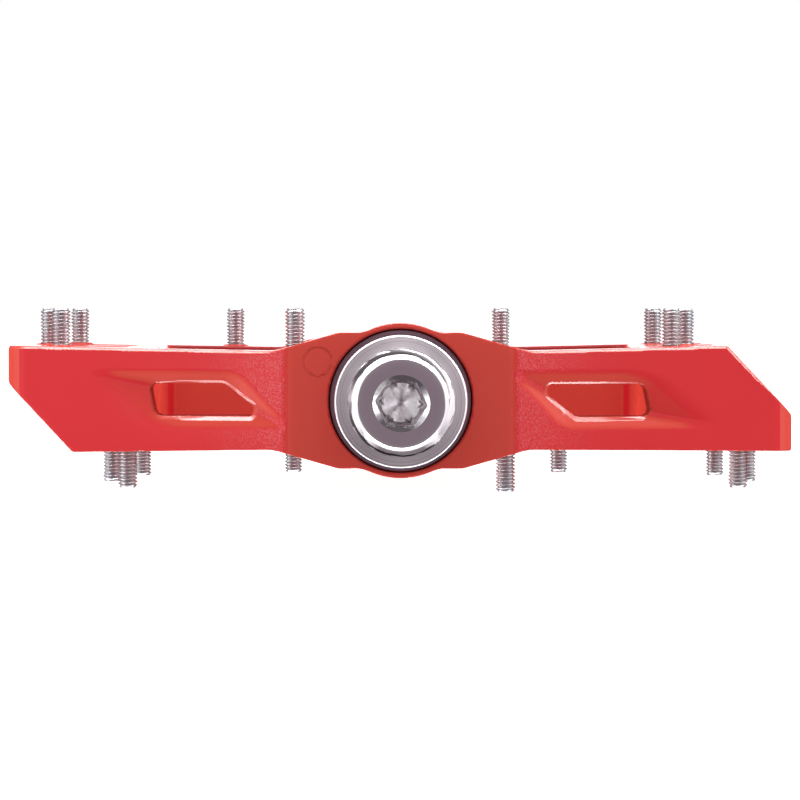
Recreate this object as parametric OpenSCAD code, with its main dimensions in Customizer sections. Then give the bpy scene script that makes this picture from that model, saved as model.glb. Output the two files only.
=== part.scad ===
// Flat pedal, right-hand side, for a bicycle crank.
// The origin is the centre of the spindle flange's front face, where it seats on the crank arm.
// +Y runs along the axle away from the crank, +Z is up and +X is to the right seen from the crank.
// The platform is the same turned half a turn about the axle, so both faces can be ridden.

/* [Platform] */
// Length of the platform across the axle
platform_length = 110.3; // [107:0.1:114]
// Width of the platform along the axle
platform_width = 97; // [95:1:99]
// Gap from the crank seat to the platform's near face
platform_offset = 8; // [7.5:0.1:8.5]
// Half height of the platform at its ends
end_half_height = 7.4; // [7:0.1:8]
// Half height of the platform where the axle housing slopes down to it
root_half_height = 6.75; // [6.6:0.05:7.2]
// Half height of the flat strip over the axle
housing_half_height = 9.3; // [9.2:0.05:9.5]
// Half width of the flat near and far faces
face_half_width = 15.5; // [15:0.5:17]
// Sweep of the end walls, from the flat face to the corner
wall_sweep = 17.8; // [16:0.1:19]
// Radius of the platform's corners in plan
corner_radius = 4.5; // [4:0.5:7]
// Height of the chamfer on the diagonally opposite ends
end_chamfer_height = 9.8; // [9:0.1:10.5]
// Width of the chamfer on the diagonally opposite ends
end_chamfer_width = 9.5; // [8.5:0.1:10]

/* [Openings] */
// Half width of the axle housing, at the inner edge of the openings
housing_half_width = 13; // [12.5:0.1:13.5]
// Distance from the axle to the outer edge of the openings
opening_reach = 34.7; // [34:0.1:35.5]
// Thickness of the end walls, from the platform's face to the openings
wall_depth = 17; // [16:0.5:18]
// Thickness of the cross rib halfway along the openings
rib_thickness = 4; // [3:0.5:5]
// Half height of the cross rib
rib_half_height = 5; // [4:0.5:6]
// Width of the small cells in the outer rails
cell_width = 11; // [9:0.5:11]
// Distance from the axle to the inner edge of the cells
cell_start = 39.3; // [39:0.1:40]
// Length of each cell
cell_length = 16.5; // [14:0.5:17]

/* [Pins] */
// Outer radius of the pin's thread
pin_radius = 1.35; // [1.3:0.05:1.5]
// Pitch of the pin's thread
pin_pitch = 0.5; // [0.45:0.05:0.55]
// Length of each pin
pin_length = 12; // [11:0.5:12.5]
// Height of the pin tips above the axle
pin_tip_height = 12.6; // [12:0.1:13]
// Width across the flats of the hex socket in each pin's tip
pin_socket_width = 1.5; // [1.3:0.1:1.5]

/* [Spindle] */
// Outer radius of the crank thread
thread_radius = 7.14; // [7:0.01:7.2]
// Pitch of the crank thread
thread_pitch = 1.27; // [1.25:0.01:1.3]
// Length of the threaded end
thread_length = 12.5; // [12:0.1:14]
// Width across the flats of the hex socket
socket_width = 6; // [6:1:8]
// Depth of the hex socket
socket_depth = 7; // [6:0.5:8]
// Radius of the flange that seats on the crank arm
flange_radius = 9.05; // [8.8:0.05:9.2]
// Thickness of the flange
flange_thickness = 3.2; // [3:0.1:3.6]
// Radius of the journal that turns in the plain bush
journal_radius = 6.2; // [6:0.1:6.4]

/* [Bearings] */
// Radius of each ball, 3/32 inch across
ball_radius = 1.19; // [1.19:0.01:1.2]
// Number of balls in each row
balls_per_row = 12; // [10:1:12]
// Radius of the circle through the balls' centres
ball_circle_radius = 4.85; // [4.8:0.05:5]
// Place of the inner row along the axle
inner_row_y = 70; // [68:0.5:71]
// Place of the outer row along the axle
outer_row_y = 84; // [83:0.5:85]

/* [Hidden] */
$fn = 96;
clearance = 0.04;
cut = 1;
near_y = platform_offset;
far_y = platform_offset + platform_width;
mid_y = (near_y + far_y) / 2;
half_length = platform_length / 2;

// The axle housing's bores, from the near face inwards
boss_radius = 10.58;
boss_length = 13;
collar_bore = 9.85;
collar_bore_depth = 2.5;
bolt_bore = 9.2;
bolt_bore_depth = 12.5;
axle_bore = 8.1;
axle_bore_end = 96.5;

// Pins of the upper face as [x, y, top of the low collar around the pin, or 0 for none].
// The lower face has the same, turned half a turn about the axle.
pin_sites = [
    [-47.7, 30, 7.5], [-50.9, mid_y, 7.55], [-48, 83, 7.5],
    [38.3, 30, 7.35], [41.8, mid_y, 7.4], [38.6, 83, 7.35],
    [-14.5, 14, 0], [-24.9, 98, 7.1], [16, 99, 0]
];
pin_count = len(pin_sites);
pin_hole_radius = pin_radius + 0.02;
pin_collar_radius = 1.85;
pin_collar_height = 2;

// Ends of the inner pieces along the axle
seal_land_radius = 6.8;
journal_start = 12;
journal_end = 36;
shaft_end = 94.5;
shaft_radius = 3.45;
end_thread_radius = 3;
cone_start = outer_row_y + 0.15;
cone_end = cone_start + 4.8;
washer_end = cone_end + 0.8;
nut_end = washer_end + 3.2;
keyway_width = 1.4;
keyway_floor = 2.3;

// --- Helpers ---

function unit(v) = v / norm(v);
function flat(p) = [p[0], p[1]];
function angle_of(v) = atan2(v[1], v[0]);
function turn(from, to) = (to - from + 540) % 360 - 180;

// Points of the arc that rounds one corner between its two neighbours
function corner_arc(before, corner, after, radius, steps) =
    let (u = unit(before - corner), v = unit(after - corner))
    let (half = acos(u * v) / 2)
    let (centre = corner + unit(u + v) * radius / sin(half))
    let (first = corner + u * radius / tan(half), last = corner + v * radius / tan(half))
    let (start = angle_of(first - centre), sweep = turn(start, angle_of(last - centre)))
    [for (k = [0 : steps]) centre + radius * [cos(start + sweep * k / steps), sin(start + sweep * k / steps)]];

// Closed outline from corners given as [x, y, radius]
function rounded(corners, steps = 6) =
    let (n = len(corners))
    [for (i = [0 : n - 1])
        let (c = corners[i])
        each (c[2] == 0 ? [flat(c)]
            : corner_arc(flat(corners[(i + n - 1) % n]), flat(c), flat(corners[(i + 1) % n]), c[2], steps))];

// The same corners turned half a turn about the origin
function half_turn(corners) = [for (c = corners) [-c[0], -c[1], c[2]]];

// Extrudes an x-z outline along the axle
module along_axle(from, to) {
    translate([0, to, 0]) rotate([90, 0, 0]) linear_extrude(to - from) children();
}

// Turns a solid of revolution from +Z to the axle's direction
module about_axle() {
    rotate([-90, 0, 0]) children();
}

// Ring about the axle between two radii
module ring(inner, outer, from, to) {
    about_axle() rotate_extrude() translate([inner, from]) square([outer - inner, to - from]);
}

// Solid rod about the axle
module rod(radius, from, to) {
    about_axle() translate([0, 0, from]) cylinder(r = radius, h = to - from);
}

// Conical chamfer cutter about the axle, wide at one end
module cone(radius_from, radius_to, from, to) {
    about_axle() translate([0, 0, from]) cylinder(r1 = radius_from, r2 = radius_to, h = to - from);
}

// Groove that a row of balls rolls in
module ball_groove(y) {
    about_axle() rotate_extrude() translate([ball_circle_radius, y]) circle(ball_radius + clearance);
}

// Both a cut and its copy turned half a turn about the axle
module both_ways() {
    children();
    rotate([0, 180, 0]) children();
}

// A cut and its mirror image across the middle of the platform's width
module both_walls() {
    children();
    translate([0, 2 * mid_y, 0]) mirror([0, 1, 0]) children();
}

// Thread crests as [radius, distance] points, rising along the thread
function crests(root, crest, pitch, start, count) =
    [for (k = [0 : count - 1])
        each [
            [root, start + k * pitch],
            [crest, start + (k + 0.4) * pitch],
            [crest, start + (k + 0.6) * pitch],
            [root, start + (k + 1) * pitch]
        ]];

// --- Platform ---

// Outline of the platform seen from above
function plan_corners() =
    let (corner_y = near_y + wall_sweep, far_corner_y = far_y - wall_sweep)
    [
        [-face_half_width, near_y, 4],
        [face_half_width, near_y, 4],
        [half_length, corner_y, corner_radius],
        [half_length, far_corner_y, corner_radius],
        [face_half_width, far_y, 4],
        [-face_half_width, far_y, 4],
        [-half_length, far_corner_y, corner_radius],
        [-half_length, corner_y, corner_radius]
    ];

// Upper half of the outline seen along the axle, from the chamfered end to the square end
function profile_corners() =
    let (tip_z = end_half_height)
    [
        [half_length, tip_z - end_chamfer_height, 1],
        [half_length - end_chamfer_width, tip_z, 0.6],
        [17.5, root_half_height, 5],
        [8.5, housing_half_height, 0.8],
        [-8.5, housing_half_height, 0.8],
        [-17.5, root_half_height, 5],
        [-half_length, tip_z, 0.5]
    ];

module platform_blank() {
    intersection() {
        translate([0, 0, -20]) linear_extrude(40) polygon(rounded(plan_corners()));
        along_axle(near_y - cut, far_y + cut)
            polygon(rounded(concat(profile_corners(), half_turn(profile_corners()))));
    }
    rod(boss_radius, near_y, near_y + boss_length);
    both_ways() for (site = pin_sites)
        if (site[2] > 0)
            translate([site[0], site[1], site[2] - pin_collar_height])
                cylinder(r = pin_collar_radius, h = pin_collar_height);
}

// Large opening between the housing and a rail, one of four
module main_opening() {
    start = near_y + wall_depth;
    end = mid_y - rib_thickness / 2;
    outline = [
        [housing_half_width, start, 3],
        [opening_reach, start, 3],
        [opening_reach, end, 2],
        [housing_half_width, end, 2]
    ];
    translate([0, 0, -20]) linear_extrude(40) polygon(rounded(outline));
}

// Small cell between the pins of a rail, one of four
module rail_cell() {
    start = (30 + mid_y - cell_length) / 2;
    outline = [
        [cell_start, start, 2.5],
        [cell_start + cell_width, start, 2.5],
        [cell_start + cell_width, start + cell_length, 2.5],
        [cell_start, start + cell_length, 2.5]
    ];
    translate([0, 0, -20]) linear_extrude(40) polygon(rounded(outline));
}

// Brings the cross rib below the rest of the upper face
module rib_step() {
    translate([housing_half_width, mid_y - rib_thickness, rib_half_height])
        cube([opening_reach - housing_half_width, 2 * rib_thickness, 10]);
}

// Everything on the near side of a plane through a point, as a large block
module near_side(point, normal) {
    n = unit(normal);
    translate(point) rotate([0, acos(n[2]), atan2(n[1], n[0])]) translate([-60, -60, -60]) cube([120, 120, 60]);
}

// Shallow funnel in an end wall around the slot. Each band starts at one edge of its outline on the wall's
// surface and sinks towards the slot by its own slope.
module wall_funnel() {
    edges = [
        [[43.6, 3.9], [0, -1], 0.52],
        [[22.4, 3.9], [1, -0.95], 0.55],
        [[16.6, -3.8], [0, 1], 0.36],
        [[34.6, -3.8], [-0.86, 1], 0.19]
    ];
    sweep = wall_sweep / (half_length - face_half_width);
    intersection_for(edge = edges) {
        corner = edge[0];
        inward = unit(edge[1]) * edge[2];
        near_side([corner[0], near_y + sweep * (corner[0] - face_half_width), corner[1]],
            [-sweep - inward[0], 1, -inward[1]]);
    }
}

// Slot through an end wall
module wall_window() {
    outline = [
        [34.7, 2.3, 0.9],
        [24.2, 2.3, 1.8],
        [20.1, -0.9, 0.5],
        [20.4, -2.2, 0.5],
        [33.8, -2.2, 1.1]
    ];
    along_axle(near_y - cut, near_y + wall_depth + cut) polygon(rounded(outline));
}

// Plain ring left by the mould's date dial
module mould_mark() {
    translate([-11.3, 0, 5.3]) ring(1.85, 2.02, near_y - cut, near_y + 0.12);
    translate([-11.3, 0, 5.3]) along_axle(near_y - cut, near_y + 0.12) translate([-0.06, -0.7]) square([0.12, 1.4]);
}

module axle_bores() {
    rod(collar_bore, near_y - cut, near_y + collar_bore_depth);
    cone(collar_bore + 0.3 + cut, collar_bore, near_y - cut, near_y + 0.3);
    rod(bolt_bore, near_y, near_y + bolt_bore_depth);
    rod(axle_bore, near_y, axle_bore_end);
}

module pin_holes() {
    for (site = pin_sites)
        translate([site[0], site[1], pin_tip_height - pin_length - 0.1])
            cylinder(r = pin_hole_radius, h = pin_length, $fn = 32);
}

module platform() {
    color([0.85, 0.19, 0.19]) difference() {
        platform_blank();
        both_walls() both_ways() main_opening();
        both_walls() both_ways() rail_cell();
        both_ways() rib_step();
        both_ways() mirror([1, 0, 0]) rib_step();
        both_walls() both_ways() mirror([1, 0, 0]) wall_funnel();
        both_walls() both_ways() mirror([1, 0, 0]) wall_window();
        mould_mark();
        axle_bores();
        both_ways() pin_holes();
    }
}

// --- Axle unit parts that turn with the platform ---

// Resin ring that screws the axle unit into the platform, with a splined nose for its tool
module lock_bolt() {
    nose_start = 4;
    nose_radius = 8.7;
    collar_start = near_y + 0.5;
    thread_start = near_y + collar_bore_depth;
    spline_count = 24;
    color([0.13, 0.12, 0.13]) difference() {
        union() {
            rod(nose_radius, nose_start, collar_start + 0.5);
            rod(9.6, collar_start, thread_start - clearance);
            rod(bolt_bore - clearance, thread_start - clearance, near_y + bolt_bore_depth);
        }
        rod(7.7, nose_start + 1, far_y);
        rod(7.1, nose_start - cut, nose_start + 2);
        for (i = [0 : spline_count - 1])
            rotate([0, i * 360 / spline_count, 0]) translate([nose_radius + 0.15, 0, 0])
                rod(0.55, nose_start - cut, collar_start - 0.5, $fn = 24);
    }
}

// Rubber ring with two lips on the spindle's seal land
module dust_seal() {
    start = 5.1;
    end = 11.6;
    color([0.05, 0.05, 0.05]) difference() {
        ring(seal_land_radius + clearance, 7.7 - clearance, start, end);
        about_axle() rotate_extrude() polygon([[6.7, start + 1.2], [7.3, (start + end) / 2], [6.7, end - 1.2]]);
    }
}

// Long resin sleeve: a plain bearing at the crank side and a spacer beyond it
module bush_sleeve() {
    bolt_end = near_y + bolt_bore_depth;
    color([0.85, 0.84, 0.8]) difference() {
        union() {
            rod(7.7 - clearance, journal_start, bolt_end + 1);
            rod(axle_bore - clearance, bolt_end + clearance, inner_row_y - 2);
        }
        rod(journal_radius + 0.05, journal_start - cut, journal_end);
        rod(journal_radius + 0.5, journal_end - 1, inner_row_y);
    }
}

// Hardened tube with a ball race at each end
module bearing_sleeve() {
    color([0.6, 0.6, 0.62]) difference() {
        ring(5.05, axle_bore - clearance, inner_row_y - 1.9, outer_row_y + 1.9);
        rod(ball_circle_radius + ball_radius, inner_row_y - 3, inner_row_y);
        rod(ball_circle_radius + ball_radius, outer_row_y, outer_row_y + 3);
        ball_groove(inner_row_y);
        ball_groove(outer_row_y);
    }
}

// --- Spindle group ---

// Crank-side outline, from the thread's end face to the flange
function thread_outline() =
    let (crest_count = 8)
    let (plain_start = -thread_length + 1.35 + crest_count * thread_pitch)
    concat(
        [[0, -thread_length], [5.83, -thread_length], [thread_radius - 0.5, -thread_length + 0.85]],
        crests(thread_radius - 0.74, thread_radius, thread_pitch, -thread_length + 1.35, crest_count),
        [[thread_radius, plain_start + 0.2], [thread_radius, 0]]
    );

// Outline of the flange and of the shaft inside the platform
function shaft_outline() = [
    [flange_radius - 0.3, 0],
    [flange_radius, 0.3],
    [flange_radius, flange_thickness - 0.2],
    [flange_radius - 0.2, flange_thickness],
    [seal_land_radius, flange_thickness],
    [seal_land_radius, journal_start - 0.3],
    [journal_radius, journal_start],
    [journal_radius, journal_end],
    [5, inner_row_y - 4],
    [4.85, inner_row_y - 0.15],
    [shaft_radius, inner_row_y - 0.15],
    [shaft_radius, outer_row_y + 0.1],
    [end_thread_radius, outer_row_y + 0.1],
    [end_thread_radius, shaft_end - 0.4],
    [end_thread_radius - 0.4, shaft_end],
    [0, shaft_end]
];

// Hex socket with a countersunk mouth and a drilled floor
module hex_socket() {
    mouth = -thread_length;
    floor_y = mouth + socket_depth;
    corner = socket_width / sqrt(3);
    along_axle(mouth - cut, floor_y) rotate(-6) circle(r = corner, $fn = 6);
    cone(corner + 0.33 + cut, corner - 0.1, mouth - cut, mouth + 0.43);
    rod(socket_width / 2 + 0.05, mouth, floor_y + 0.6);
    cone(socket_width / 2 + 0.05, 0, floor_y + 0.6, floor_y + 2.2);
}

module keyway() {
    translate([-keyway_width / 2, cone_end - 0.5, keyway_floor]) cube([keyway_width, 10, 2]);
}

module spindle() {
    color([0.72, 0.7, 0.71]) difference() {
        about_axle() rotate_extrude() polygon(concat(thread_outline(), shaft_outline()));
        hex_socket();
        ball_groove(inner_row_y);
        keyway();
    }
}

// Nut-shaped body with round hole, for the cone and the lock nut
module hex_ring(across_flats, hole, from, to) {
    difference() {
        along_axle(from, to) circle(r = across_flats / sqrt(3), $fn = 6);
        rod(hole, from - cut, to + cut);
    }
}

// Threaded cone that sets the bearings' play
module outer_cone() {
    color([0.55, 0.55, 0.58]) difference() {
        union() {
            ring(end_thread_radius + clearance, 4.85, cone_start, cone_start + 2.2);
            hex_ring(10, end_thread_radius + clearance, cone_start + 2, cone_end);
        }
        ball_groove(outer_row_y);
    }
}

// Washer keyed to the spindle, so that tightening the nut can't turn the cone
module tab_washer() {
    tab_width = keyway_width - 2 * clearance;
    color([0.68, 0.68, 0.7]) {
        ring(end_thread_radius + clearance, 4.9, cone_end, washer_end);
        translate([-tab_width / 2, cone_end, keyway_floor + clearance])
            cube([tab_width, washer_end - cone_end, 1.2]);
    }
}

module lock_nut() {
    color([0.62, 0.62, 0.64]) hex_ring(10, end_thread_radius + clearance, washer_end, nut_end);
}

// --- Pins and balls ---

// Grub screw standing on its inner end, its threads showing where it stands free
module grub_screw() {
    root = pin_radius - 0.3;
    crest_count = 10;
    thread_top = pin_length - 0.5;
    thread_bottom = thread_top - crest_count * pin_pitch;
    socket_corner = pin_socket_width / sqrt(3);
    outline = concat(
        [[0, 0], [pin_radius - 0.4, 0], [pin_radius, 0.4], [pin_radius, thread_bottom - 0.2]],
        crests(root, pin_radius, pin_pitch, thread_bottom, crest_count),
        [[root, thread_top], [root - 0.05, pin_length], [0, pin_length]]
    );
    difference() {
        rotate_extrude($fn = 32) polygon(outline);
        translate([0, 0, pin_length - 1.6]) cylinder(r = socket_corner, h = 3, $fn = 6);
    }
}

module pin_upper(number) {
    site = pin_sites[number - 1];
    color([0.66, 0.62, 0.63]) translate([site[0], site[1], pin_tip_height - pin_length]) grub_screw();
}

module pin_lower(number) {
    rotate([0, 180, 0]) pin_upper(number);
}

module ball_row(y) {
    color([0.8, 0.8, 0.82]) for (i = [0 : balls_per_row - 1])
        rotate([0, i * 360 / balls_per_row, 0]) translate([ball_circle_radius, y, 0]) sphere(ball_radius, $fn = 24);
}

module inner_balls() {
    ball_row(inner_row_y);
}

module outer_balls() {
    ball_row(outer_row_y);
}

spindle();
outer_cone();
tab_washer();
lock_nut();
platform();
lock_bolt();
dust_seal();
bush_sleeve();
bearing_sleeve();
for (i = [1 : pin_count]) pin_upper(i);
for (i = [1 : pin_count]) pin_lower(i);
inner_balls();
outer_balls();
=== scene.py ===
"""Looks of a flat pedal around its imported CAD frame: resin platform, threaded pins and steel spindle."""
import math

import bmesh
import bpy
import numpy as np
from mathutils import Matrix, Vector


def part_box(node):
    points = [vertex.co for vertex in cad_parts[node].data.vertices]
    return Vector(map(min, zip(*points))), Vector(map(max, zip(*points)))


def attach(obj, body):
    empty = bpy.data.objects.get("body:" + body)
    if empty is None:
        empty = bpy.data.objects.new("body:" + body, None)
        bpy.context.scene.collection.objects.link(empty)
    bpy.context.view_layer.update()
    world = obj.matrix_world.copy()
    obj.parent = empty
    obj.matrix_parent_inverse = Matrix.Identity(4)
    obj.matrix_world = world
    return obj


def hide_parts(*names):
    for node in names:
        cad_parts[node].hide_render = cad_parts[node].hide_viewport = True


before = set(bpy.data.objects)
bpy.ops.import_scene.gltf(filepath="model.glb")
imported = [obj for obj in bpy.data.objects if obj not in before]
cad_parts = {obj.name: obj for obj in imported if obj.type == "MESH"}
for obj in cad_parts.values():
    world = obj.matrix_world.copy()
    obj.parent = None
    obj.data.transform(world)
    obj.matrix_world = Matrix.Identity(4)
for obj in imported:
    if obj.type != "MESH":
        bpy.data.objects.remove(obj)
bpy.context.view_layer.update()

MM = 0.001

# Driving sizes in millimetres, as in the CAD model. The axle runs along +Y; the crank seat is at the origin.

# Platform
HALF_LENGTH = 55.15
NEAR_Y = 8.0
FAR_Y = 105.0
MID_Y = (NEAR_Y + FAR_Y) / 2
FACE_HALF_WIDTH = 15.5
WALL_SWEEP = 17.8
WALL_DEPTH = 17.0
END_HALF_HEIGHT = 7.4
ROOT_HALF_HEIGHT = 6.75
ROOT_X = 17.5
HOUSING_HALF_HEIGHT = 9.3
CHAMFER_HEIGHT = 9.8
CHAMFER_WIDTH = 9.5
OPENING = (13.0, 34.7)
RIB_THICKNESS = 4.0
RIB_HALF_HEIGHT = 5.0
CELL = (39.3, 50.3)
CELL_LENGTH = 16.5
CELL_CORNER = 2.5
NEAR_PIN_Y = 30.0
BOSS_RADIUS = 10.58
BOSS_LENGTH = 13.0
COLLAR_BORE = 9.85
COLLAR_BORE_DEPTH = 2.5
BOLT_BORE = 9.2
BOLT_BORE_DEPTH = 12.5
AXLE_BORE = 8.1
AXLE_BORE_END = 96.5
MOULD_MARK = (-11.3, 5.3)
MOULD_MARK_RADIUS = 1.95

# Spindle
THREAD_RADIUS = 7.14
THREAD_PITCH = 1.27
THREAD_DEPTH = 0.74
THREAD_LENGTH = 12.5
END_FACE_RADIUS = 5.83
SOCKET_WIDTH = 6.0
SOCKET_DEPTH = 7.0
SOCKET_TURN = math.radians(-5)
COUNTERSINK_RADIUS = 3.79

# Pins
PIN_RADIUS = 1.35
PIN_PITCH = 0.5
PIN_THREAD_DEPTH = 0.3
PIN_THREAD = 6.6
PIN_COLLAR = 1.85
PIN_SOCKET_WIDTH = 1.5

# Floor under the tips of the lower pins
FLOOR_Z = -12.6


# --- Small helpers ------------------------------------------------------------------------------------------

def mesh_object(name, vertices, faces, smooth=True):
    """A new object from points in millimetres and faces as lists of point numbers."""
    mesh = bpy.data.meshes.new(name)
    mesh.from_pydata((np.asarray(vertices, float) * MM).tolist(), [], faces)
    mesh.validate()
    if smooth:
        mesh.shade_smooth()
    piece = bpy.data.objects.new(name, mesh)
    bpy.context.scene.collection.objects.link(piece)
    return piece


def loft(name, rings):
    """Closed skin over a list of rings, each an (N, 3) array with the same number of points."""
    count = len(rings[0])
    vertices = np.concatenate(rings)
    faces = []
    for row in range(len(rings) - 1):
        for k in range(count):
            a = row * count + k
            b = row * count + (k + 1) % count
            faces.append([a, b, b + count, a + count])
    faces.append(list(range(count))[::-1])
    faces.append([(len(rings) - 1) * count + k for k in range(count)])
    return mesh_object(name, vertices, faces)


def mark_sharp(piece, angle):
    """Splits the shading where faces meet at more than this angle, in degrees."""
    piece.data.set_sharp_from_angle(angle=math.radians(angle))


# --- Outlines ----------------------------------------------------------------------------------------------

def unit(v):
    return v / np.hypot(*v)


def corner_arc(before, corner, after, radius):
    """Points of the arc that rounds one corner, about 11 degrees apart."""
    u = unit(before - corner)
    v = unit(after - corner)
    half = math.acos(np.clip(u @ v, -1, 1)) / 2
    centre = corner + unit(u + v) * radius / math.sin(half)
    first = corner + u * radius / math.tan(half) - centre
    last = corner + v * radius / math.tan(half) - centre
    start = math.atan2(first[1], first[0])
    sweep = (math.atan2(last[1], last[0]) - start + math.pi) % (2 * math.pi) - math.pi
    steps = max(2, math.ceil(abs(sweep) / 0.2))
    angles = start + sweep * np.arange(steps + 1) / steps
    return [centre + radius * np.array([math.cos(a), math.sin(a)]) for a in angles]


def rounded(corners):
    """Closed outline from corners given as (x, y, radius)."""
    points = []
    for i, (x, y, radius) in enumerate(corners):
        here = np.array([x, y])
        if radius == 0:
            points.append(here)
            continue
        before = np.array(corners[i - 1][:2])
        after = np.array(corners[(i + 1) % len(corners)][:2])
        points += corner_arc(before, here, after, radius)
    return np.array(points)


def half_turn(corners):
    return [(-x, -y, radius) for x, y, radius in corners]


def plan_outline():
    corner_y = NEAR_Y + WALL_SWEEP
    near_half = [
        (-HALF_LENGTH, corner_y, 4.5),
        (-FACE_HALF_WIDTH, NEAR_Y, 4),
        (FACE_HALF_WIDTH, NEAR_Y, 4),
        (HALF_LENGTH, corner_y, 4.5),
    ]
    far_half = [(-x, 2 * MID_Y - y, radius) for x, y, radius in near_half]
    return rounded(near_half + far_half)


def profile_outline():
    upper = [
        (HALF_LENGTH, END_HALF_HEIGHT - CHAMFER_HEIGHT, 1),
        (HALF_LENGTH - CHAMFER_WIDTH, END_HALF_HEIGHT, 0.6),
        (ROOT_X, ROOT_HALF_HEIGHT, 5),
        (8.5, HOUSING_HALF_HEIGHT, 0.8),
        (-8.5, HOUSING_HALF_HEIGHT, 0.8),
        (-ROOT_X, ROOT_HALF_HEIGHT, 5),
        (-HALF_LENGTH, END_HALF_HEIGHT, 0.5),
    ]
    return rounded(upper + half_turn(upper))


# Bands of the funnel around each slot: a point of the band's outer edge, its way inwards, how fast it sinks
FUNNEL = [
    ((43.6, 3.9), (0, -1), 0.52),
    ((22.4, 3.9), (1, -0.95), 0.55),
    ((16.6, -3.8), (0, 1), 0.36),
    ((34.6, -3.8), (-0.86, 1), 0.19),
]
WINDOW_OUTLINE = [(34.7, 2.3, 0.9), (24.2, 2.3, 1.8), (20.1, -0.9, 0.5), (20.4, -2.2, 0.5), (33.8, -2.2, 1.1)]


# --- Signed distances --------------------------------------------------------------------------------------

def outline_distance(x, y, points):
    """Signed distance from every point of two broadcastable grids to a closed outline."""
    x, y = np.broadcast_arrays(x, y)
    nearest = np.full(x.shape, 1e9, np.float32)
    inside = np.zeros(x.shape, bool)
    previous = points[-1]
    for point in points:
        ex, ey = point - previous
        wx = x - previous[0]
        wy = y - previous[1]
        t = np.clip((wx * ex + wy * ey) / (ex * ex + ey * ey), 0, 1)
        np.minimum(nearest, (wx - ex * t) ** 2 + (wy - ey * t) ** 2, out=nearest)
        if ey != 0:
            crosses = (previous[1] > y) != (point[1] > y)
            inside ^= crosses & (wx < ex * wy / ey)
        previous = point
    return np.where(inside, -1, 1) * np.sqrt(nearest)


def box_distance(x, y, low_x, high_x, low_y, high_y, radius):
    """Signed distance to a rectangle with round corners."""
    dx = np.abs(x - (low_x + high_x) / 2) - (high_x - low_x) / 2 + radius
    dy = np.abs(y - (low_y + high_y) / 2) - (high_y - low_y) / 2 + radius
    outside = np.sqrt(np.maximum(dx, 0) ** 2 + np.maximum(dy, 0) ** 2)
    return outside + np.minimum(np.maximum(dx, dy), 0) - radius


def meet(a, b, radius):
    """Intersection of two solids with a rounded edge."""
    return np.minimum(-radius, np.maximum(a, b)) + np.sqrt(
        np.maximum(radius + a, 0) ** 2 + np.maximum(radius + b, 0) ** 2)


def join(a, b, radius):
    """Union of two solids with a fillet."""
    return -meet(-a, -b, radius)


def take(a, b, radius):
    """Solid a without b, with a rounded rim."""
    return meet(a, -b, radius)


def pin_sites():
    """Axis of each pin from its CAD node: (name, x, y, +1 on the upper face or -1 on the lower)."""
    sites = []
    for name in sorted(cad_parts):
        if name.startswith("pin_"):
            low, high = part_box(name)
            middle = (low + high) / (2 * MM)
            sites.append((name, middle.x, middle.y, 1 if middle.z > 0 else -1))
    return sites


PLAN = plan_outline()
PROFILE = profile_outline()
WINDOW = rounded(WINDOW_OUTLINE)
PINS = pin_sites()


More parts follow.
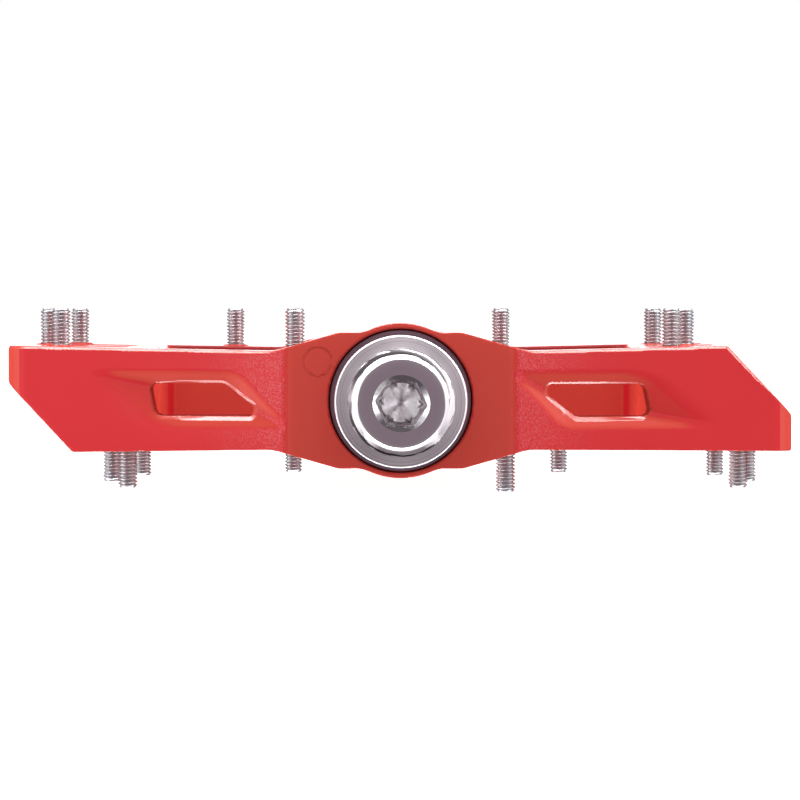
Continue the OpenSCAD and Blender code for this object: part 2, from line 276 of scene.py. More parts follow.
def platform_distance(x, y, z):
    """Signed distance to the resin platform, in millimetres."""
    ax = np.abs(x)
    fold_y = MID_Y - np.abs(y - MID_Y)
    turned_z = np.where(x < 0, z, -z)
    rho = np.sqrt(x * x + z * z)

    boss = np.maximum(rho - BOSS_RADIUS, y - NEAR_Y - BOSS_LENGTH)
    profile = join(outline_distance(x, z, PROFILE), boss, 0.4)
    plan = outline_distance(x, y, PLAN)
    solid = meet(plan, profile, np.where(y > 40, 0.3, 0.12))
    # The wings' upper edges are bevelled
    wing = np.clip((ax - 16) / 3, 0, 1) * np.clip(z / 3, 0, 1)
    solid = np.maximum(solid, (plan + profile + 0.36 * wing) * math.sqrt(0.5))
    for _, px, py, side in PINS:
        if abs(px) < 20:
            continue
        rise = (END_HALF_HEIGHT - ROOT_HALF_HEIGHT) / (HALF_LENGTH - ROOT_X)
        top = ROOT_HALF_HEIGHT + rise * (abs(px) - ROOT_X) + 0.2
        collar = np.hypot(x - px, y - py) - PIN_COLLAR
        collar = meet(collar, np.maximum(side * z - top, 5.0 - side * z), 0.15)
        solid = join(solid, collar, 0.25)

    sweep = WALL_SWEEP / (HALF_LENGTH - FACE_HALF_WIDTH)
    funnel = np.float32(-1e3)
    for (px, pz), (nx, nz), sink in FUNNEL:
        nx, nz = sink * unit(np.array([nx, nz]))
        plane = fold_y - NEAR_Y - sweep * (ax - FACE_HALF_WIDTH) - nx * (ax - px) - nz * (turned_z - pz)
        funnel = meet(funnel, plane / math.sqrt(1 + (sweep + nx) ** 2 + nz ** 2), 0.45)
    solid = take(solid, funnel, 0.2)

    # Each window has narrow bright lips where it breaks through the funnel
    window = np.maximum(outline_distance(ax, turned_z, WINDOW), fold_y - NEAR_Y - WALL_DEPTH - 1)
    lip = 0.5 - 0.05 * z - 0.03 * np.clip(ax - 28, 0, 9)
    steep = 0.4 + 0.08 * np.clip(ax - 27.5, 0, 3)
    solid = np.maximum(solid, (steep * (lip - window) - 1.15 * funnel) * 0.7)
    solid = take(solid, window, 0.04)

    opening = box_distance(ax, fold_y, *OPENING, NEAR_Y + WALL_DEPTH, MID_Y - RIB_THICKNESS / 2, 2.5)
    solid = take(solid, opening, 0.6)
    cell_start = (NEAR_PIN_Y + MID_Y - CELL_LENGTH) / 2
    cell = box_distance(ax, fold_y, *CELL, cell_start, cell_start + CELL_LENGTH, CELL_CORNER)
    solid = take(solid, cell, 0.6)
    step = np.maximum(np.maximum(OPENING[0] - ax, ax - OPENING[1]), MID_Y - RIB_THICKNESS - fold_y)
    step = np.maximum(step, RIB_HALF_HEIGHT - np.abs(z))
    solid = take(solid, step, 0.5)

    bore = np.maximum(rho - COLLAR_BORE, y - NEAR_Y - COLLAR_BORE_DEPTH)
    solid = take(solid, bore, 0.25)
    solid = np.maximum(solid, -np.maximum(rho - BOLT_BORE, y - NEAR_Y - BOLT_BORE_DEPTH))
    solid = np.maximum(solid, -np.maximum(rho - AXLE_BORE, y - AXLE_BORE_END))
    for _, px, py, side in PINS:
        hole = np.maximum(np.hypot(x - px, y - py) - PIN_RADIUS - 0.03, 0.5 - side * z)
        solid = np.maximum(solid, -hole)

    mark = np.hypot(x - MOULD_MARK[0], z - MOULD_MARK[1])
    groove = np.maximum(np.abs(mark - MOULD_MARK_RADIUS) - 0.1, y - NEAR_Y - 0.12)
    return np.maximum(solid, -groove)


# --- Surface net -------------------------------------------------------------------------------------------

def spaced(stops, steps):
    """Grid lines through stops, each stretch divided into equal steps no longer than its own step."""
    lines = [np.array([stops[0]])]
    for a, b, step in zip(stops, stops[1:], steps):
        count = math.ceil((b - a) / step)
        lines.append(a + (b - a) * np.arange(1, count + 1) / count)
    return np.concatenate(lines).astype(np.float32)


def sample_field(axes):
    """Distances at the corners of the grid, made in slabs."""
    field = np.empty([len(a) for a in axes], np.float32)
    slab = 24
    for start in range(0, len(axes[0]), slab):
        x = axes[0][start:start + slab, None, None]
        field[start:start + slab] = platform_distance(x, axes[1][None, :, None], axes[2][None, None, :])
    return field


def surface_net(field, axes):
    """Quads around the zero level of a distance field: one point per crossed cell."""
    inside = field < 0
    corners = [(i, j, k) for i in (0, 1) for j in (0, 1) for k in (0, 1)]
    shape = [n - 1 for n in field.shape]
    count = np.zeros(shape, np.int8)
    for i, j, k in corners:
        count += inside[i:i + shape[0], j:j + shape[1], k:k + shape[2]]
    cells = np.argwhere((count > 0) & (count < 8))
    number = np.full(shape, -1, np.int32)
    number[tuple(cells.T)] = np.arange(len(cells))

    total = np.zeros((len(cells), 3))
    crossings = np.zeros(len(cells))
    value = {c: field[tuple((cells + c).T)] for c in corners}
    for a in corners:
        for axis in range(3):
            if a[axis] == 1:
                continue
            b = tuple(1 if n == axis else a[n] for n in range(3))
            crossed = (value[a] < 0) != (value[b] < 0)
            t = value[a][crossed] / (value[a][crossed] - value[b][crossed])
            total[crossed] += a
            total[crossed, axis] += t
            crossings[crossed] += 1
    share = total / crossings[:, None]
    points = np.empty((len(cells), 3))
    reach = np.empty((len(cells), 3))
    for axis in range(3):
        low = axes[axis][cells[:, axis]]
        high = axes[axis][cells[:, axis] + 1]
        points[:, axis] = low + (high - low) * share[:, axis]
        reach[:, axis] = 0.45 * (high - low)

    quads = []
    for axis in range(3):
        u, v = (axis + 1) % 3, (axis + 2) % 3
        start = [0, 0, 0]
        start[u] = start[v] = 1
        size = list(shape)
        size[u] -= 1
        size[v] -= 1
        here = tuple(slice(s, s + n) for s, n in zip(start, size))
        step = [int(n == axis) for n in range(3)]
        ahead = tuple(slice(s + d, s + d + n) for s, d, n in zip(start, step, size))
        first, second = inside[here], inside[ahead]
        for leaving in (True, False):
            edges = np.argwhere(first & ~second if leaving else ~first & second) + start
            ring = []
            for du, dv in ((0, 0), (1, 0), (1, 1), (0, 1)):
                cell = edges.copy()
                cell[:, u] -= 1 - du
                cell[:, v] -= 1 - dv
                ring.append(number[tuple(cell.T)])
            quads.append(np.stack(ring if leaving else ring[::-1], 1))
    return points, reach, np.concatenate(quads)


def gradient(points):
    """Unit outward direction of the distance at each point."""
    d = 0.01
    g = np.zeros_like(points)
    for way in ((1, 1, 1), (1, -1, -1), (-1, 1, -1), (-1, -1, 1)):
        way = np.array(way)
        g += way * platform_distance(*(points + d * way).T)[:, None]
    return g / np.maximum(np.linalg.norm(g, axis=1), 1e-9)[:, None]


def settle(points, reach, rounds):
    """Moves net points onto the surface, none further than its reach."""
    start = points.copy()
    for _ in range(rounds):
        distance = platform_distance(*points.T)
        points = points - gradient(points) * distance[:, None]
        points = start + np.clip(points - start, -reach, reach)
    return points


def shade_by_field(mesh):
    """Small faces take their normals from the distance field, large flat faces from themselves."""
    points = np.empty(len(mesh.vertices) * 3, np.float32)
    mesh.vertices.foreach_get("co", points)
    towards = gradient(points.reshape(-1, 3).astype(float) / MM)
    loops = np.empty(len(mesh.loops), np.int32)
    mesh.loops.foreach_get("vertex_index", loops)
    face_normals = np.empty(len(mesh.polygons) * 3, np.float32)
    mesh.polygons.foreach_get("normal", face_normals)
    face_normals = face_normals.reshape(-1, 3)
    areas = np.empty(len(mesh.polygons), np.float32)
    mesh.polygons.foreach_get("area", areas)
    sizes = np.empty(len(mesh.polygons), np.int32)
    mesh.polygons.foreach_get("loop_total", sizes)
    owner = np.repeat(np.arange(len(mesh.polygons)), sizes)
    normals = towards[loops]
    flat = (areas[owner] > 0.6 * MM * MM) | (np.sum(normals * face_normals[owner], axis=1) < 0.75)
    normals[flat] = face_normals[owner][flat]
    mesh.normals_split_custom_set(normals.tolist())


def build_platform():
    """Resin platform as one closed mesh, finest round the windows' lips and the wings' edges."""
    fine, coarse, lip = ((0.28, 0.5, 0.18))
    margin = 2.5 * fine
    axes = [
        spaced([-HALF_LENGTH - margin, -35.8, -19.4, 19.4, 35.8, HALF_LENGTH + margin],
               [fine, lip, fine, lip, fine]),
        spaced([NEAR_Y - margin, NEAR_Y + WALL_SWEEP, FAR_Y - WALL_SWEEP, FAR_Y + margin],
               [fine, coarse, coarse]),
        spaced([-BOSS_RADIUS - margin, -7.9, -6.3, -3.4, 3.4, 6.3, 7.9, BOSS_RADIUS + margin],
               [fine, lip, fine, lip, fine, lip, fine]),
    ]
    points, reach, quads = surface_net(sample_field(axes), axes)
    points = settle(points, reach, 2)
    piece = mesh_object("platform_body", points, quads.tolist(), smooth=True)
    work = bmesh.new()
    work.from_mesh(piece.data)
    bmesh.ops.dissolve_limit(work, angle_limit=math.radians(0.6), use_dissolve_boundaries=False,
                             verts=work.verts[:], edges=work.edges[:])
    work.to_mesh(piece.data)
    work.free()
    piece.data.shade_smooth()
    shade_by_field(piece.data)
    return piece


# --- Turned and threaded parts -----------------------------------------------------------------------------

def polar_ring(angles, radius, height):
    """Ring of points about Z; radius may be one number or one per angle."""
    radius = np.broadcast_to(radius, angles.shape)
    return np.stack([radius * np.cos(angles), radius * np.sin(angles), np.full(angles.shape, height)], 1)


def hex_radius(angles, across_flats, start=0.0):
    """Distance from the centre to the side of a hexagon in each direction."""
    local = (angles - start) % (math.pi / 3) - math.pi / 6
    return across_flats / 2 / np.cos(local)


def thread_wave(turns, crest, root):
    """Radius of a 60 degree thread at a place given in turns along its pitch."""
    phase = turns % 1.0
    rise = np.clip(np.abs(phase - 0.5) * 2, 0, 1)
    share = np.clip((rise - 0.14) / 0.66, 0, 1)
    return root + (crest - root) * share


def threaded_pin(name, x, y, side):
    """Grub screw of the traction pins: hex socket in the tip and a helical thread where it stands free."""
    count = 36
    per_pitch = 10
    angles = 2 * math.pi * np.arange(count) / count
    low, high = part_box(name)
    bottom = min(abs(low.z), abs(high.z)) / MM
    top = max(abs(low.z), abs(high.z)) / MM
    twist = 0.37 * x + 0.61 * y
    root = PIN_RADIUS - PIN_THREAD_DEPTH
    rings = [polar_ring(angles, PIN_RADIUS - 0.4, bottom), polar_ring(angles, PIN_RADIUS, bottom + 0.4)]
    start = top - PIN_THREAD
    rings.append(polar_ring(angles, PIN_RADIUS, start - 0.1))
    rows = round(PIN_THREAD / PIN_PITCH * per_pitch)
    for row in range(rows + 1):
        z = start + PIN_THREAD * row / rows
        turns = (z - top) / PIN_PITCH - side * (angles + twist) / (2 * math.pi)
        wave = thread_wave(turns, PIN_RADIUS, root)
        tip = root + 0.02 + (top - z) * 0.62
        rings.append(polar_ring(angles, np.minimum(wave, tip), z))
    socket = hex_radius(angles, PIN_SOCKET_WIDTH, twist)
    rings.append(polar_ring(angles, socket + 0.08, top))
    rings.append(polar_ring(angles, socket, top - 0.1))
    rings.append(polar_ring(angles, socket, top - 1.6))
    rings.append(polar_ring(angles, socket * 0.3, top - 1.9))
    rings = [ring * np.array([1, 1, side]) + np.array([x, y, 0]) for ring in rings]
    if side < 0:
        rings = [ring[::-1] for ring in rings]
    piece = loft(name.replace("pin", "grub_pin"), rings)
    mark_sharp(piece, 40)
    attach(piece, "platform")
    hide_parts(name)
    return piece


def build_spindle():
    """Spindle with helical crank thread, hex socket, flange and the shaft inside the platform."""
    count = 160
    per_pitch = 14
    angles = 2 * math.pi * np.arange(count) / count
    end = -THREAD_LENGTH
    root = THREAD_RADIUS - THREAD_DEPTH
    socket = hex_radius(angles, SOCKET_WIDTH, SOCKET_TURN)
    floor = end + SOCKET_DEPTH

    def row(radius, y):
        ring = polar_ring(angles, radius, 0)
        return np.stack([ring[:, 0], np.full(count, y), ring[:, 1]], 1)

    drilled = [(0.02, 1.9), (0.6, 1.56), (1.3, 1.16), (2.0, 0.75), (2.66, 0.36)]
    rings = [row(radius, floor + depth) for radius, depth in drilled]
    rings.append(row(np.maximum(socket - 0.12, 2.7), floor - 0.25))
    rings.append(row(socket, floor - 0.4))
    for depth in (0.6, 0.45, 0.36, 0.28, 0.2, 0.12, 0.05, 0.0):
        rings.append(row(np.maximum(socket, COUNTERSINK_RADIUS - 1.73 * depth), end + depth))
    rings.append(row(4.6, end))
    rings.append(row(END_FACE_RADIUS - 0.09, end))
    rings.append(row(END_FACE_RADIUS, end + 0.03))
    thread_start = end + 0.05
    thread_end = -1.1
    rows = round((thread_end - thread_start) / THREAD_PITCH * per_pitch)
    for k in range(rows + 1):
        y = thread_start + (thread_end - thread_start) * k / rows
        chamfer = END_FACE_RADIUS + (y - end) * 0.95
        turns = (y - end) / THREAD_PITCH - angles / (2 * math.pi) + 0.053
        wave = thread_wave(turns, THREAD_RADIUS, root)
        fade = np.clip((y - thread_end + 0.7) / 0.7, 0, 1)
        wave = wave + (THREAD_RADIUS - wave) * fade
        rings.append(row(np.minimum(wave, chamfer), y))
    flange = [
        (THREAD_RADIUS, -0.02), (THREAD_RADIUS + 0.03, 0), (8.56, 0), (8.6, 0.06), (8.66, 0.06),
        (8.7, 0.01), (8.76, 0.0), (8.87, 0.06), (8.97, 0.17), (9.03, 0.3), (9.05, 0.42),
        (9.05, 3.0), (8.99, 3.14), (8.85, 3.2), (6.83, 3.2), (6.8, 3.23),
    ]
    shaft = [
        (6.8, 11.7), (6.2, 12), (6.2, 36), (5.0, 66), (4.85, 69.85), (3.45, 69.85),
        (3.45, 84.1), (3.0, 84.1), (3.0, 94.1), (2.6, 94.5), (0.02, 94.5),
    ]
    rings += [row(radius, y) for radius, y in flange + shaft]
    piece = loft("spindle_turned", rings)
    piece.data.flip_normals()
    mark_sharp(piece, 28)
    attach(piece, "spindle")
    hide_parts("spindle")
    return piece


# --- Materials ---------------------------------------------------------------------------------------------

class Paint:
    """Short notation for building a node material."""

    def __init__(self, name):
        self.material = bpy.data.materials.new(name)
        self.material.use_nodes = True
        self.tree = self.material.node_tree
        self.shader = self.tree.nodes["Principled BSDF"]

    def node(self, kind, inputs=None, **settings):
        node = self.tree.nodes.new(kind)
        for key, value in settings.items():
            setattr(node, key, value)
        for key, value in (inputs or {}).items():
            self.feed(node.inputs[key], value)
        return node

    def feed(self, socket, value):
        if isinstance(value, bpy.types.NodeSocket):
            self.tree.links.new(value, socket)
        else:
            socket.default_value = value

    def set(self, **values):
        for key, value in values.items():
            self.feed(self.shader.inputs[key.replace("_", " ")], value)

    def place(self):
        return self.node("ShaderNodeTexCoord").outputs["Object"]

    def noise(self, scale, detail=2.0, roughness=0.5, vector=None):
        node = self.node("ShaderNodeTexNoise", {"Scale": scale, "Detail": detail, "Roughness": roughness})
        self.feed(node.inputs["Vector"], vector or self.place())
        return node.outputs["Fac"]

    def math(self, operation, *values, clamp=False):
        node = self.node("ShaderNodeMath", operation=operation, use_clamp=clamp)
        for socket, value in zip(node.inputs, values):
            self.feed(socket, value)
        return node.outputs[0]

    def product(self, first, *others):
        for other in others:
            first = self.math("MULTIPLY", first, other)
        return first

    def rest(self, share):
        return self.math("SUBTRACT", 1.0, share)

    def spread(self, value, low, high, to_low, to_high):
        """Straight ramp from to_low at low to to_high at high, level outside them."""
        node = self.node("ShaderNodeMapRange", {"Value": value, "From Min": low, "From Max": high,
                                                "To Min": to_low, "To Max": to_high})
        return node.outputs["Result"]

    def mix(self, share, first, second):
        node = self.node("ShaderNodeMix", data_type="RGBA")
        self.feed(node.inputs["Factor"], share)
        self.feed(node.inputs["A"], first)
        self.feed(node.inputs["B"], second)
        return node.outputs["Result"]

    def bump(self, height, distance):
        node = self.node("ShaderNodeBump", {"Height": height, "Distance": distance, "Strength": 1.0})
        return node.outputs["Normal"]


def around_axle(paint):
    """Distance from the axle, angle about it and place along it at the shaded point."""
    x, y, z = paint.node("ShaderNodeSeparateXYZ", {"Vector": paint.place()}).outputs
    radius = paint.math("SQRT", paint.math("ADD", paint.product(x, x), paint.product(z, z)))
    return radius, paint.math("ARCTAN2", z, x), y


def red_resin():
    """Satin red resin with painted light: clear red on the swept walls, painted dull tones where it faces the
    crank or lies in a recess.
    """
    paint = Paint("red_resin_moulded")
    cloud = paint.noise(90.0, 3.0)
    grain = paint.noise(6000.0, 2.0, 0.6)
    normal = paint.node("ShaderNodeTexCoord").outputs["Normal"]
    facing = paint.node("ShaderNodeSeparateXYZ", {"Vector": normal}).outputs
    x, y, z = [paint.math("ABSOLUTE", part) for part in facing]
    place_x, place_y, _ = paint.node("ShaderNodeSeparateXYZ", {"Vector": paint.place()}).outputs

    # Painted light by facing: faces across the axle, and the end walls with their 24 degrees of sweep, each
    # get their own lit tone
    flat = paint.spread(y, 0.96, 0.99, 0, 1)
    colour = paint.mix(flat, (0.64, 0.06, 0.04, 1), (0.72, 0.08, 0.057, 1))
    swept = paint.math("ADD", paint.product(x, 0.41), paint.product(y, 0.912))
    is_wall = paint.spread(swept, 0.972, 0.992, 0, 1)
    wall = paint.mix(paint.spread(cloud, 0.3, 0.7, 0, 1), (0.645, 0.018, 0.024, 1), (0.66, 0.019, 0.025, 1))
    colour = paint.mix(is_wall, colour, wall)

    # Painted shade: faces towards the crank darken far behind the front ones
    far_painted_shade = paint.product(paint.spread(place_y, 0.045, 0.088, 0, 0.85),
                         paint.spread(facing[1], -0.5, -0.1, 1, 0))
    colour = paint.mix(far_painted_shade, colour, (0.16, 0.008, 0.012, 1))

    # Bevels and lips shine, and the walls sparkle where they leave the housing
    root = paint.spread(paint.math("ABSOLUTE", place_x), 0.018, 0.032, 1, 0)
    edge = paint.product(paint.spread(y, 0.76, 0.79, 1, 0), paint.spread(z, 0.33, 0.37, 0, 1))
    sparkle = paint.product(root, is_wall, paint.spread(grain, 0.45, 0.62, 0, 0.9))
    shine = paint.math("MAXIMUM", paint.spread(edge, 0, 1, 0.2, 1.0), sparkle)
    paint.set(Base_Color=colour, Roughness=paint.spread(edge, 0, 1, 0.3, 0.2),
              Specular_IOR_Level=paint.product(shine, paint.rest(far_painted_shade)),
              Normal=paint.bump(paint.product(grain, paint.spread(root, 0, 1, 0.1, 0.9)), 0.00001))
    return paint.material


def black_resin():
    paint = Paint("black_resin_satin")
    grain = paint.noise(1800.0, 2.0)
    paint.set(Base_Color=paint.mix(grain, (0.2, 0.125, 0.155, 1), (0.25, 0.155, 0.195, 1)),
              Roughness=paint.spread(grain, 0.3, 0.7, 0.38, 0.5), Normal=paint.bump(grain, 0.00001))
    return paint.material


def seal_rubber():
    paint = Paint("seal_rubber_matte")
    grain = paint.noise(1500.0, 2.0)
    paint.set(Base_Color=paint.mix(grain, (0.012, 0.012, 0.012, 1), (0.022, 0.021, 0.02, 1)),
              Roughness=paint.spread(grain, 0.3, 0.7, 0.7, 0.85))
    return paint.material


def bush_resin():
    paint = Paint("bush_resin_natural")
    cloud = paint.noise(250.0, 3.0)
    paint.set(Base_Color=paint.mix(cloud, (0.7, 0.68, 0.62, 1), (0.78, 0.76, 0.72, 1)),
              Roughness=paint.spread(cloud, 0.3, 0.7, 0.35, 0.45))
    return paint.material


def steel(name, low, high, rough_low, rough_high, mark_scale, mark_depth):
    """Turned steel: fine circular marks about the axle and slightly uneven polish."""
    paint = Paint(name)
    radius, _, along = around_axle(paint)
    marks = paint.node("ShaderNodeCombineXYZ", {"X": radius, "Y": along})
    lines = paint.noise(mark_scale, 2.0, 0.7, marks.outputs[0])
    cloud = paint.noise(140.0, 3.0)
    paint.set(Base_Color=paint.mix(cloud, low, high), Metallic=1.0,
              Roughness=paint.spread(lines, 0.3, 0.7, rough_low, rough_high),
              Normal=paint.bump(lines, mark_depth))
    return paint.material


def flange_colour(paint, lines, across, up):
    """Fine circular marks, and a painted sheen that makes the colour brighter towards the upper right."""
    # Painted highlight: the colour brightens towards the upper right, on top of the circular marks
    polish = paint.math("ADD", paint.product(across, 0.18), paint.product(up, 0.33))
    polish = paint.math("ADD", polish, paint.spread(lines, 0.3, 0.7, 0.3, 0.82), clamp=True)
    return paint.mix(polish, (0.5, 0.47, 0.49, 1), (0.95, 0.92, 0.94, 1))


def socket_colour(paint, radius, angle, along, across, up):
    """Drilled floor with painted reflections: bright fans to the left and right, bright flats, and painted
    shade on the brink.
    """
    turn = paint.node("ShaderNodeCombineXYZ", {"X": across, "Y": up, "Z": paint.product(radius, 30.0)})
    rays = paint.noise(22.0, 3.0, 0.6, turn.outputs[0])
    # Painted reflection: bright fans to the left and right over a darker floor and countersink
    side = paint.math("ABSOLUTE", paint.math("SINE", paint.math("ADD", angle, 0.25)))
    side = paint.math("ADD", paint.spread(side, 0.45, 0.85, 1, 0), 0.1)
    fans = paint.product(paint.spread(rays, 0.35, 0.6, 0.7, 1.0), side)
    rim = paint.spread(along, -0.0121, -0.0119, 1, 0)
    dark = paint.mix(rim, (0.5, 0.46, 0.48, 1), (0.1, 0.08, 0.09, 1))
    colour = paint.mix(fans, dark, (1.0, 0.99, 1.0, 1))

    flats = []
    for k in range(3):
        normal = SOCKET_TURN + math.radians(30 + 60 * k)
        towards = paint.math("COSINE", paint.math("SUBTRACT", angle, normal))
        flats.append(paint.math("ABSOLUTE", paint.product(towards, radius)))
    hexagon = paint.math("MAXIMUM", paint.math("MAXIMUM", flats[0], flats[1]), flats[2])
    # Painted highlight: the hex flats are painted near white
    painted_flat_highlight = paint.product(paint.spread(hexagon, 0.00292, 0.00296, 0, 1),
                          paint.spread(along, -0.0119, -0.0117, 0, 1))
    colour = paint.mix(painted_flat_highlight, colour, (1.0, 0.99, 1.0, 1))
    # Painted shade along the brink of the socket
    brink = paint.math("ABSOLUTE", paint.math("SUBTRACT", hexagon, SOCKET_WIDTH / 2 * MM))
    brink = paint.product(paint.spread(brink, 0.00004, 0.0001, 0.85, 0),
                          paint.spread(along, -0.0121, -0.0118, 1, 0))
    return paint.mix(brink, colour, (0.08, 0.06, 0.07, 1))


def spindle_steel():
    """Turned steel with its own finish on the end face, and painted light and shade on the chamfer, thread
    start, flange and hex socket.
    """
    paint = Paint("spindle_steel_turned")
    radius, angle, along = around_axle(paint)
    across = paint.math("COSINE", angle)
    up = paint.math("SINE", angle)
    flange = paint.spread(radius, 0.0071, 0.0073, 0, 1)
    mouth = paint.spread(radius, COUNTERSINK_RADIUS * MM, COUNTERSINK_RADIUS * MM + 0.00001, 1, 0)
    marks = paint.node("ShaderNodeCombineXYZ", {"X": radius, "Y": along})
    lines = paint.noise(3600.0, 2.0, 0.7, marks.outputs[0])
    cloud = paint.noise(140.0, 3.0)
    colour = paint.mix(cloud, (0.56, 0.53, 0.55, 1), (0.64, 0.61, 0.63, 1))
    colour = paint.mix(flange, colour, flange_colour(paint, lines, across, up))
    colour = paint.mix(mouth, colour, socket_colour(paint, radius, angle, along, across, up))

    # Painted shade: the thread's start shows as a dark groove below the chamfer
    cone = paint.math("SUBTRACT", paint.spread(along, -0.0125, -0.0105, 0.00583, 0.00773), radius)
    groove = paint.product(paint.spread(cone, 0.00004, 0.0002, 0, 1),
                           paint.spread(radius, 0.0058, 0.0059, 0, 1),
                           paint.spread(along, -0.0108, -0.0104, 1, 0))
    colour = paint.mix(groove, colour, (0.16, 0.14, 0.15, 1))
    # Painted shade: the chamfer's outer half and the thread darken underneath
    painted_underside_shade = paint.product(paint.spread(radius, 0.0060, 0.0064, 0, 1), paint.spread(up, -0.9, -0.3, 1, 0),
                         paint.rest(flange))
    colour = paint.mix(painted_underside_shade, colour, (0.03, 0.025, 0.028, 1))

    rough = paint.math("ADD", paint.spread(lines, 0.3, 0.7, 0.2, 0.28), paint.product(flange, 0.16))
    rough = paint.math("ADD", rough, paint.product(mouth, -0.03))
    tangent = paint.node("ShaderNodeTangent", direction_type="RADIAL", axis="Y")
    paint.set(Base_Color=colour, Metallic=1.0, Roughness=rough, Tangent=tangent.outputs[0],
              Anisotropic=paint.math("MAXIMUM", paint.product(flange, 0.75), paint.product(mouth, 0.8)),
              Normal=paint.bump(paint.product(lines, paint.rest(mouth)), 0.000002))
    return paint.material


def pin_steel():
    paint = Paint("pin_steel_plated")
    cloud = paint.noise(900.0, 3.0)
    paint.set(Base_Color=paint.mix(cloud, (0.49, 0.51, 0.53, 1), (0.6, 0.61, 0.63, 1)), Metallic=1.0,
              Roughness=paint.spread(cloud, 0.3, 0.7, 0.34, 0.42))
    return paint.material


# --- Build -------------------------------------------------------------------------------------------------

platform = build_platform()
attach(platform, "platform")
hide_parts("platform")
spindle = build_spindle()
pins = [threaded_pin(*site) for site in PINS]

platform.data.materials.append(red_resin())
spindle.data.materials.append(spindle_steel())
pin_look = pin_steel()
for pin in pins:
    pin.data.materials.append(pin_look)

race_look = steel("race_steel_ground", (0.42, 0.42, 0.44, 1), (0.5, 0.5, 0.52, 1),
                  0.22, 0.32, 4000.0, 0.000001)
ball_look = steel("ball_steel_polished", (0.66, 0.66, 0.68, 1), (0.74, 0.74, 0.76, 1),
                  0.05, 0.1, 900.0, 0.0000002)
carried = {
    "lock_bolt": black_resin(), "dust_seal": seal_rubber(), "bush_sleeve": bush_resin(),
    "bearing_sleeve": race_look, "outer_cone": race_look, "tab_washer": race_look, "lock_nut": race_look,
    "inner_balls": ball_look, "outer_balls": ball_look,
}
for name, look in carried.items():
    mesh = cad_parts[name].data
    mesh.materials.clear()
    mesh.materials.append(look)
    # The lock bolt's ribs keep their flat faces
    if name != "lock_bolt":
        mesh.shade_smooth()
        mesh.set_sharp_from_angle(angle=math.radians(35))


# --- Studio ------------------------------------------------------------------------------------------------

def area_light(name, place, target, width, height, power, colour=(1, 1, 1)):
    data = bpy.data.lights.new(name, "AREA")
    data.shape = "RECTANGLE"
    data.size = width
    data.size_y = height
    data.energy = power
    data.color = colour
    lamp = bpy.data.objects.new(name, data)
    lamp.location = place
    lamp.rotation_euler = (Vector(target) - Vector(place)).to_track_quat("-Z", "Y").to_euler()
    bpy.context.scene.collection.objects.link(lamp)


def studio_world():
    """White backdrop to the camera; the pedal itself sees a ring of light around it and darkness behind."""
    world = bpy.data.worlds.new("studio")
    world.use_nodes = True
    tree = world.node_tree
    background = tree.nodes["Background"]
    output = tree.nodes["World Output"]
    place = tree.nodes.new("ShaderNodeTexCoord")
    split = tree.nodes.new("ShaderNodeSeparateXYZ")
    tree.links.new(place.outputs["Generated"], split.inputs["Vector"])
    shift = tree.nodes.new("ShaderNodeMapRange")
    shift.inputs["From Min"].default_value = -1.0
    shift.inputs["From Max"].default_value = 1.0
    tree.links.new(split.outputs["Y"], shift.inputs["Value"])
    ramp = tree.nodes.new("ShaderNodeValToRGB")
    stops = [
        (0.0, (0.13, 0.097, 0.115)), (0.03, (0.14, 0.11, 0.125)), (0.08, (0.2, 0.195, 0.198)),
        (0.3, (0.21, 0.2, 0.205)), (0.4, (0.35, 0.34, 0.345)), (0.435, (0.9, 0.87, 0.89)),
        (0.54, (0.9, 0.87, 0.89)), (0.6, (0.1, 0.09, 0.1)), (0.988, (0.04, 0.035, 0.038)),
        (0.996, (0.9, 0.88, 0.89)),
    ]
    while len(ramp.color_ramp.elements) < len(stops):
        ramp.color_ramp.elements.new(0.5)
    for element, (position, colour) in zip(ramp.color_ramp.elements, stops):
        element.position = position
        element.color = (*colour, 1)
    tree.links.new(shift.outputs["Result"], ramp.inputs["Fac"])
    height = tree.nodes.new("ShaderNodeMapRange")
    height.inputs["From Min"].default_value = -0.6
    height.inputs["From Max"].default_value = 0.6
    height.inputs["To Min"].default_value = 2.2
    height.inputs["To Max"].default_value = 2.8
    tree.links.new(split.outputs["Z"], height.inputs["Value"])
    tree.links.new(ramp.outputs["Color"], background.inputs["Color"])
    tree.links.new(height.outputs["Result"], background.inputs["Strength"])
    backdrop = tree.nodes.new("ShaderNodeBackground")
    rays = tree.nodes.new("ShaderNodeLightPath")
    choice = tree.nodes.new("ShaderNodeMixShader")
    tree.links.new(rays.outputs["Is Camera Ray"], choice.inputs["Fac"])
    tree.links.new(background.outputs["Background"], choice.inputs[1])
    tree.links.new(backdrop.outputs["Background"], choice.inputs[2])
    backdrop.inputs["Color"].default_value = (1, 1, 1, 1)
    tree.links.new(choice.outputs["Shader"], output.inputs["Surface"])
    bpy.context.scene.world = world


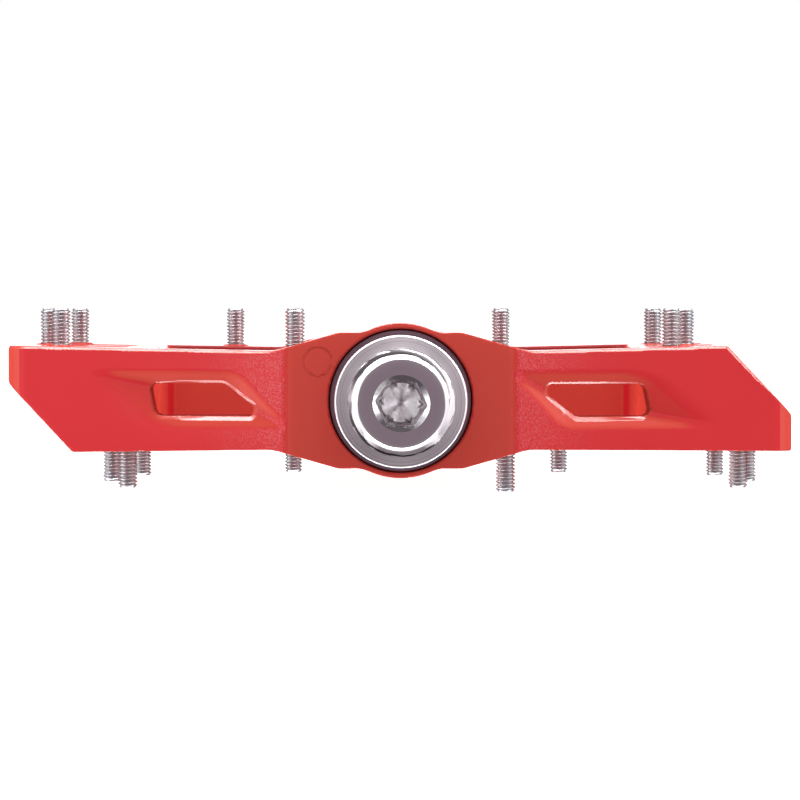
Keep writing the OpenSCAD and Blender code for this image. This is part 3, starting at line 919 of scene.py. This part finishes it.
def studio_floor():
    """Pale floor that the lower pins stand on, lit evenly for the camera."""
    size = 6000.0
    corners = [(-size, -size, FLOOR_Z), (size, -size, FLOOR_Z), (size, size, FLOOR_Z), (-size, size, FLOOR_Z)]
    floor = mesh_object("studio_floor", corners, [[0, 1, 2, 3]], smooth=False)
    paint = Paint("studio_floor_pale")
    rays = paint.node("ShaderNodeLightPath")
    paint.set(Base_Color=(0.5, 0.5, 0.5, 1), Roughness=0.9, Emission_Color=(1, 1, 1, 1),
              Emission_Strength=paint.math("MULTIPLY", rays.outputs["Is Camera Ray"], 0.9))
    floor.data.materials.append(paint.material)
    floor.visible_diffuse = False
    floor.visible_glossy = False
    floor.visible_shadow = False


def studio_camera():
    data = bpy.data.cameras.new("camera")
    data.lens = 229.0
    data.sensor_width = 36.0
    data.clip_end = 50.0
    camera = bpy.data.objects.new("camera", data)
    camera.location = (-0.00398, -0.687, 0.0126)
    aim = Vector((math.tan(math.radians(0.322)), 1, -math.tan(math.radians(1.03))))
    camera.rotation_euler = aim.to_track_quat("-Z", "Y").to_euler()
    bpy.context.scene.collection.objects.link(camera)
    bpy.context.scene.camera = camera


studio_world()
studio_floor()
front = (0, 0.02, 0)
area_light("top_strip", (0, -0.05, 0.45), front, 1.0, 0.07, 2.8)
area_light("bottom_strip", (0, 0.0, -0.45), front, 1.0, 0.07, 2.4)
area_light("edge_strip", (0, 0.1, 0.45), front, 0.8, 0.03, 1.2)
area_light("left_low_panel", (-0.44, 0.145, -0.24), front, 0.1, 0.12, 0.5)
area_light("right_high_panel", (0.44, 0.145, 0.24), front, 0.1, 0.12, 0.5)
area_light("left_strip", (-0.5, -0.14, 0.05), front, 0.08, 0.3, 0.2, (1, 0.93, 0.98))
area_light("left_side", (-0.44, -0.235, 0.02), front, 0.08, 0.26, 0.14, (1, 0.95, 0.98))
area_light("right_side", (0.44, -0.235, 0.02), front, 0.08, 0.26, 0.13, (1, 0.93, 0.97))
area_light("left_lamp", (-0.135, -0.1, 0.01), (-0.02, 0.01, 0), 0.03, 0.03, 0.016)
area_light("right_lamp", (0.135, -0.1, 0.01), (0.02, 0.01, 0), 0.03, 0.03, 0.013)
studio_camera()

view = bpy.context.scene.view_settings
view.view_transform = "Standard"
view.look = "None"
view.exposure = 0
view.gamma = 1
